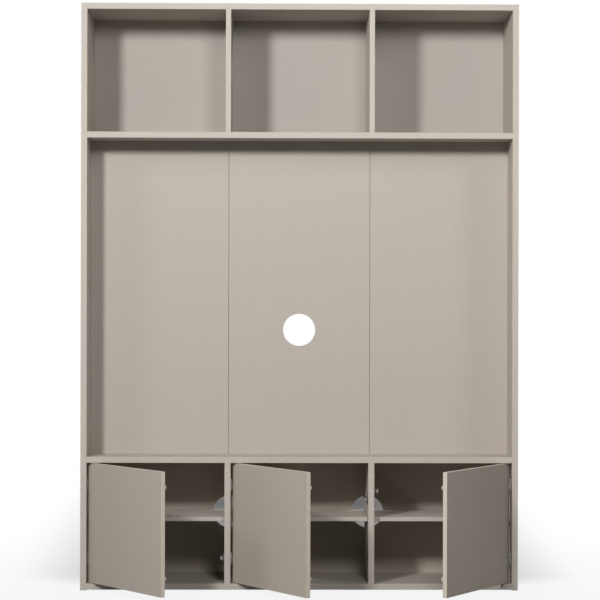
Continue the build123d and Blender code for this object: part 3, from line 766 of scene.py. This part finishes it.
for vert in arm.verts:
    vert.co += vert.normal * (ARM_WALL / 2)
bmesh.ops.solidify(arm, geom=list(arm.faces), thickness=ARM_WALL)
bmesh.ops.recalc_face_normals(arm, faces=arm.faces)
crisp = [edge for edge in arm.edges if edge.calc_face_angle(0) > math.radians(60)]
ease(arm, crisp, 0.0004, 2)
knuckle = lathe(
    [(0, -0.005), (0.0030, -0.005), (0.0034, -0.0046), (0.0034, 0.0046), (0.0030, 0.005),
     (0, 0.005)],
    32,
)
arm = carved(arm, knuckle, "UNION")
channel = block(
    bmesh.new(),
    (PLATE_FACE + 0.0001, CHANNEL_START, -PLATE_HALF),
    (WEB_FACE, CHANNEL_END, PLATE_HALF),
)
ease(channel, edges_where(channel, lambda spot: spot.x > WEB_FACE - 1e-6), 0.0016, 4)
trough = block(
    bmesh.new(),
    (PLATE_FACE - 0.001, CHANNEL_START + CHANNEL_WALL, CHANNEL_WALL - PLATE_HALF),
    (WEB_FACE - CHANNEL_WALL, CHANNEL_END + 0.001, PLATE_HALF - CHANNEL_WALL),
    bevel=0.0008,
)
channel = carved(channel, trough)
slot = block(
    bmesh.new(),
    (WEB_FACE - 0.004, SLOT_START, -SLOT_HALF),
    (WEB_FACE + 0.002, SLOT_END, SLOT_HALF),
)
ease(slot, edges_along(slot, 0), 0.0021, 5)
channel = carved(channel, slot)
arm = carved(arm, channel, "UNION")
arm = bored(arm, PIN_HOLE_RADIUS, ((0, 0, -0.008), (0, 0, 1), 0.016))
arm = bored(arm, SCREW_HOLE_RADIUS, ((WEB_FACE - 0.004, ARM_SCREW_Y, 0), (1, 0, 0), 0.010))
adjuster = screw_form(length=0.0075)
seat = facing((WEB_FACE - 0.0009, ADJUSTER_Y, 0), (1, 0, 0))
bmesh.ops.transform(adjuster, matrix=seat, verts=adjuster.verts)
base = block(
    bmesh.new(),
    (PLATE_BACK, PLATE_START, -PLATE_HALF),
    (PLATE_FACE, PLATE_END, PLATE_HALF),
    bevel=0.0006,
)
wing = block(
    bmesh.new(),
    (PLATE_BACK, PLATE_SCREW_Y - WING_HALF_WIDTH, -WING_HALF_HEIGHT),
    (PLATE_FACE, PLATE_SCREW_Y + WING_HALF_WIDTH, WING_HALF_HEIGHT),
)
ease(wing, edges_along(wing, 0), 0.006)
ease(wing, edges_where(wing, lambda spot: spot.x > PLATE_FACE - 1e-6), 0.0006, 2)
base = carved(base, wing, "UNION")
for door in OPEN:
    closed, opened = door_frames(door)
    arms, plates = bmesh.new(), bmesh.new()
    for hinge in HINGES:
        place = closed @ Matrix.Translation((0, 0, hinge))
        stamp(arms, arm, place)
        stamp(arms, adjuster, place)
        stamp(plates, base, place)
    make(f"hinge_arm_pair_{door}", arms, nickel, "cabinet", "plated_steel", f"hinge_arms_{door}")
    plate_node = f"hinge_plates_{door}"
    make(f"hinge_plate_pair_{door}", plates, zinc, "cabinet", "plated_steel", plate_node)
arm_screw = screw_form(length=0.0137)
hinge_screws = bmesh.new()
for door in OPEN:
    closed, opened = door_frames(door)
    for hinge in HINGES:
        for step in PLATE_SCREW_STEPS:
            head = (PLATE_FACE, PLATE_SCREW_Y, hinge + step)
            stamp(hinge_screws, long_screw, closed @ facing(head, (1, 0, 0)))
        head = (WEB_FACE, ARM_SCREW_Y, hinge)
        stamp(hinge_screws, arm_screw, closed @ facing(head, (1, 0, 0)))
make("hinge_screw_set", hinge_screws, plating, "cabinet", "screw_steel", "hinge_screws")

# Two soft clear rubber bumpers, 16 mm across, are stuck to the inner face of each door
# near its free edge, and keep it from knocking as it shuts.
BUMPER_IN = 0.009
BUMPER_RISES = (-0.1545, 0.1625)
rubber, tree, shader = new_finish(
    "clear_rubber", {"Transmission Weight": 0.30, "IOR": 1.45, "Specular IOR Level": 0.5}
)
place = add(tree, "TexCoord").outputs["Object"]
haze = mottle(tree, place, 380.0, 4.0)
vary(tree, shader, haze, (0.48, 0.46, 0.42), (0.62, 0.605, 0.56), haze, 0.25, 0.22)
relief(tree, shader, haze, 0.10, 0.0002)
bumper = lathe(
    [(0, 0), (0.0076, 0), (0.0080, 0.0004), (0.0080, 0.0050), (0.0078, 0.0061), (0.0072, 0.0070),
     (0.0063, 0.0076), (0.0050, 0.0079), (0.0028, 0.0080), (0, 0.0080)],
    32,
)
for door in OPEN:
    closed, opened = door_frames(door)
    bumpers = bmesh.new()
    for rise in BUMPER_RISES:
        spot = (FREE_EDGE - BUMPER_IN, INNER_FACE, -rise if door == "right" else rise)
        stamp(bumpers, bumper, opened @ facing(spot, (0, 1, 0)))
    make(f"bumper_pair_{door}", bumpers, rubber, f"door_{door}", "bumper_rubber", f"bumpers_{door}")

# A push latch stands on the divider at the free edge of each door: a dark grey moulded
# housing on a screwed foot, and a sprung pale plunger that pushes the door open.
LATCH_FACE = 0.476
LATCH_FRONT = 0.0093
LATCH_WIDTH = 0.016
LATCH_LENGTH = 0.062
LATCH_HALF_HEIGHT = 0.0075
LATCH_RISE = {"left": -0.1295, "centre": 0.085, "right": 0.1165}
FOOT_THICKNESS = 0.003
FOOT_START = 0.0303
FOOT_END = 0.0503
FOOT_HALF_HEIGHT = 0.017
FOOT_SCREW_Y = LATCH_FRONT + 0.031
FOOT_SCREW_STEPS = (-0.012, 0.012)
GROOVES = 5
GROOVE_START = LATCH_FRONT + 0.044
GROOVE_PITCH = 0.0032
GROOVE_WIDTH = 0.0014
PLUNGER_X = 0.465
PLUNGER_GAP = 0.0003
PLUNGER_HOLE_RADIUS = 0.0039
grey, tree, shader = new_finish("grey_plastic", {"Specular IOR Level": 0.42})
place = add(tree, "TexCoord").outputs["Object"]
spark = mottle(tree, place, 2100.0, 3.0)
cast = mottle(tree, place, 90.0, 3.0)
vary(tree, shader, cast, (0.085, 0.080, 0.075), (0.130, 0.124, 0.115), spark, 0.2, 0.42)
relief(tree, shader, spark, 0.25, 0.0002)
pale, tree, shader = new_finish("pale_plastic", {"Specular IOR Level": 0.5})
place = add(tree, "TexCoord").outputs["Object"]
smear = mottle(tree, place, 260.0, 4.0)
vary(tree, shader, smear, (0.38, 0.365, 0.335), (0.47, 0.455, 0.425), smear, 0.2, 0.30)
relief(tree, shader, smear, 0.10, 0.0002)
housing = block(
    bmesh.new(),
    (LATCH_FACE - LATCH_WIDTH, LATCH_FRONT, -LATCH_HALF_HEIGHT),
    (LATCH_FACE, LATCH_FRONT + LATCH_LENGTH, LATCH_HALF_HEIGHT),
)
runs = edges_along(housing, 1, 0.01)
ease(housing, [edge for edge in runs if edge.verts[0].co.x < LATCH_FACE - 0.01], 0.0030)
free = edges_where(housing, lambda spot: spot.x < LATCH_FACE - 1e-4)
ease(housing, [edge for edge in free if edge.calc_face_angle(0) > math.radians(60)], 0.0005, 2)
foot = block(
    bmesh.new(),
    (LATCH_FACE - FOOT_THICKNESS, FOOT_START, -FOOT_HALF_HEIGHT),
    (LATCH_FACE, FOOT_END, FOOT_HALF_HEIGHT),
)
ease(foot, edges_along(foot, 0), 0.005)
housing = carved(housing, foot, "UNION")
grooves = bmesh.new()
for step in range(GROOVES):
    y = GROOVE_START + step * GROOVE_PITCH
    block(
        grooves,
        (LATCH_FACE - LATCH_WIDTH - 0.001, y, -0.0045),
        (LATCH_FACE - LATCH_WIDTH + 0.0006, y + GROOVE_WIDTH, 0.0045),
    )
housing = carved(housing, grooves)
mouth = (PLUNGER_X, LATCH_FRONT - 0.001, 0)
housing = bored(housing, PLUNGER_HOLE_RADIUS, (mouth, (0, 1, 0), 0.051))
plunger = lathe(
    [(0, 0), (0.0022, 0), (0.0029, 0.0003), (0.0032, 0.0008), (0.0032, 0.0012), (0.0034, 0.0013),
     (0.0036, 0.0016), (0.0036, 0.0066), (0.0033, 0.0069), (0.0033, 0.0076), (0.0036, 0.0079),
     (0.0036, 0.0436), (0.0032, 0.0440), (0, 0.0440)],
    32,
)
latch_screws = bmesh.new()
for door in OPEN:
    closed, opened = door_frames(door)
    level = -LATCH_RISE[door] if door == "right" else LATCH_RISE[door]
    shell, rod = bmesh.new(), bmesh.new()
    stamp(shell, housing, closed @ Matrix.Translation((0, 0, level)))
    tip = (PLUNGER_X, INNER_FACE + PLUNGER_GAP, level)
    stamp(rod, plunger, closed @ facing(tip, (0, 1, 0)))
    make(f"push_latch_{door}", shell, grey, "cabinet", "latch_plastic", f"latch_housing_{door}")
    body = f"latch_plunger_{door}"
    make(f"push_plunger_{door}", rod, pale, body, "plunger_plastic", body)
    for step in FOOT_SCREW_STEPS:
        head = (LATCH_FACE - FOOT_THICKNESS, FOOT_SCREW_Y, level + step)
        stamp(latch_screws, long_screw, closed @ facing(head, (-1, 0, 0)))
make("latch_screw_set", latch_screws, plating, "cabinet", "screw_steel", "latch_screws")

# The studio: a pale floor that keeps the cabinet's shadow on plain white, a soft key lamp
# high on the left, a fill high in front, a weaker lamp high on each side, and two lamps
# behind for the back.
FLOOR_HALF = 15.0
SHADOW_SHARE = 0.12


def direct_sight(tree):
    """One where the camera sees a surface straight, in a mirror or through a clear piece."""
    path = add(tree, "LightPath").outputs
    direct = reckon(tree, "MAXIMUM", path["Is Camera Ray"], path["Is Glossy Ray"])
    return reckon(tree, "MAXIMUM", direct, path["Is Transmission Ray"])


def soft_patch(tree, place, beside, near, far):
    """A soft patch of floor about the middle: it fades over each of the given spans."""
    off_middle = reckon(tree, "ABSOLUTE", place[0])
    deep = reckon(
        tree, "MULTIPLY", ramp(tree, place[1], *near), ramp(tree, place[1], *far, 1.0, 0.0)
    )
    return reckon(tree, "MULTIPLY", ramp(tree, off_middle, *beside, 1.0, 0.0), deep)


floor_form = bmesh.new()
bmesh.ops.create_grid(floor_form, x_segments=4, y_segments=4, size=FLOOR_HALF)
floor_mesh = bpy.data.meshes.new("floor")
floor_form.to_mesh(floor_mesh)
floor_form.free()
floor = bpy.data.objects.new("floor", floor_mesh)
bpy.context.scene.collection.objects.link(floor)
pale_floor, tree, shader = new_finish("pale_floor", {"Roughness": 0.9, "Specular IOR Level": 0.1})
floor_mesh.materials.append(pale_floor)
place = add(tree, "SeparateXYZ", {0: add(tree, "TexCoord").outputs["Object"]}).outputs
behind = soft_patch(tree, place, beside=(0.36, 1.25), near=(0.0, 0.5), far=(3.3, 5.4))
round_about = soft_patch(tree, place, beside=(0.80, 1.6), near=(-1.6, -0.3), far=(0.6, 2.0))
plain = reckon(tree, "MAXIMUM", behind, reckon(tree, "MULTIPLY", round_about, SHADOW_SHARE))

# The floor throws back less light than the camera sees on it
by_camera = add(tree, "LightPath").outputs["Is Camera Ray"]
own_colour = ramp(tree, by_camera, 0.0, 1.0, 0.24, 0.34)
tree.links.new(own_colour, shader.inputs["Base Color"])
white = add(tree, "Emission", {"Color": (1, 1, 1, 1), "Strength": 1.0})
white_share = reckon(
    tree, "MULTIPLY", direct_sight(tree), reckon(tree, "SUBTRACT", 1.0, plain)
)
shared = add(tree, "MixShader", {0: white_share, 1: shader.outputs[0], 2: white.outputs[0]})
tree.links.new(shared.outputs[0], tree.nodes["Material Output"].inputs["Surface"])

sky = bpy.data.worlds.new("studio")
bpy.context.scene.world = sky
sky.use_nodes = True
tree = sky.node_tree
backdrop = tree.nodes["Background"]
backdrop.inputs["Color"].default_value = (1, 1, 1, 1)
strength = ramp(tree, direct_sight(tree), 0.0, 1.0, 0.012, 1.0)
tree.links.new(strength, backdrop.inputs["Strength"])


def lamp(name, place, target, size, watts, spread=180, glints=True):
    """A round soft lamp that the camera doesn't see, nor shiny metal unless it glints."""
    light = bpy.data.lights.new(name, "AREA")
    light.shape = "DISK"
    light.size = size
    light.energy = watts
    light.spread = math.radians(spread)
    stood = bpy.data.objects.new(name, light)
    bpy.context.scene.collection.objects.link(stood)
    stood.location = place
    stood.rotation_mode = "QUATERNION"
    aim = Vector(target) - Vector(place)
    stood.rotation_quaternion = aim.to_track_quat("-Z", "Y")
    stood.visible_camera = False
    stood.visible_glossy = glints


lamp("key", (-2.03, -3.90, 2.77), (4.0, 0.1, 1.2), 0.62, 176)
lamp("fill", (0.52, -3.35, 2.63), (1.0, 0.1, 0.3), 0.80, 52)
lamp("right_high", (2.90, -2.00, 2.95), (0.0, 0.1, 1.1), 1.0, 25)
lamp("left_soft", (-3.75, -2.20, 2.95), (1.4, 0.1, 1.3), 1.0, 29)
lamp("behind_left", (-3.0, 3.4, 2.5), (0, 0.2, 1.2), 1.6, 46, spread=106, glints=False)
lamp("behind_right", (3.1, 3.7, 2.4), (0, 0.2, 1.2), 1.6, 60, spread=106, glints=False)
bpy.context.scene.view_settings.view_transform = "Standard"
